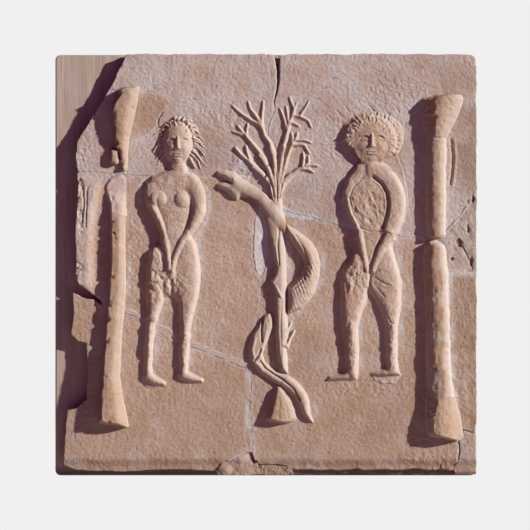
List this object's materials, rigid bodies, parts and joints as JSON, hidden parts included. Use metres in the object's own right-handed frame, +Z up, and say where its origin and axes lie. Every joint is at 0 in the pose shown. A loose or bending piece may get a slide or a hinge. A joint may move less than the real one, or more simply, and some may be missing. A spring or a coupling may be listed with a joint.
{
  "type": "clay relief wall plaque",
  "caption": "Square mended clay relief tile on a backing board: a tree with a serpent between two standing figures and two columns, with a hanger behind.",
  "frame": {"origin": "centre of the backing board's flat back face, which goes against the wall", "axes": "+X to the right as seen from the front, +Z up, the relief faces -Y"},
  "size_m": [0.27, 0.0369, 0.27],
  "materials": {
    "fired_clay": "unglazed, worn, pinkish brown",
    "repair_plaster": "rough pale mortar and plaster",
    "board_wood": "matt, upright grain",
    "hanger_steel": "zinc plated",
    "bumper_rubber": "matt black"
  },
  "bodies": {
    "root": {"backing_board": "board_wood", "bough_low_left": "fired_clay", "bough_low_right": "fired_clay", "bough_mid_left": "fired_clay", "bough_mid_right": "fired_clay", "bough_top_left": "fired_clay", "bough_top_right": "fired_clay", "bumper_bottom_left": "bumper_rubber", "bumper_bottom_right": "bumper_rubber", "bumper_top_left": "bumper_rubber", "bumper_top_right": "bumper_rubber", "fill_bottom_centre": "repair_plaster", "fill_bottom_rubble": "repair_plaster", "fill_diagonal_crack": "repair_plaster", "fill_right_edge": "repair_plaster", "fill_trunk_crack": "repair_plaster", "hanger_screw_left": "hanger_steel", "hanger_screw_right": "hanger_steel", "left_column_base": "fired_clay", "left_column_capital": "fired_clay", "left_column_chip": "fired_clay", "left_column_fill": "repair_plaster", "left_column_shaft": "fired_clay", "man_hair": "fired_clay", "man_head": "fired_clay", "man_legs": "fired_clay", "man_torso": "fired_clay", "mortar_bed": "repair_plaster", "right_column_base": "fired_clay", "right_column_capital": "fired_clay", "right_column_lower_shaft": "fired_clay", "right_column_upper_shaft": "fired_clay", "sawtooth_hanger": "hanger_steel", "serpent_coil": "fired_clay", "serpent_head": "fired_clay", "serpent_loop_lower": "fired_clay", "serpent_loop_upper": "fired_clay", "serpent_neck": "fired_clay", "serpent_tail": "fired_clay", "slab_bottom_left": "fired_clay", "slab_corner_right": "fired_clay", "slab_lower_right": "fired_clay", "slab_mid_left": "fired_clay", "slab_patch": "fired_clay", "slab_top_left": "fired_clay", "slab_top_right": "fired_clay", "tree_fork": "fired_clay", "tree_root": "fired_clay", "tree_trunk": "fired_clay", "woman_body": "fired_clay", "woman_hair": "fired_clay", "woman_head": "fired_clay", "woman_left_shin": "fired_clay", "woman_right_shin": "fired_clay"}
  },
  "joints": []
}
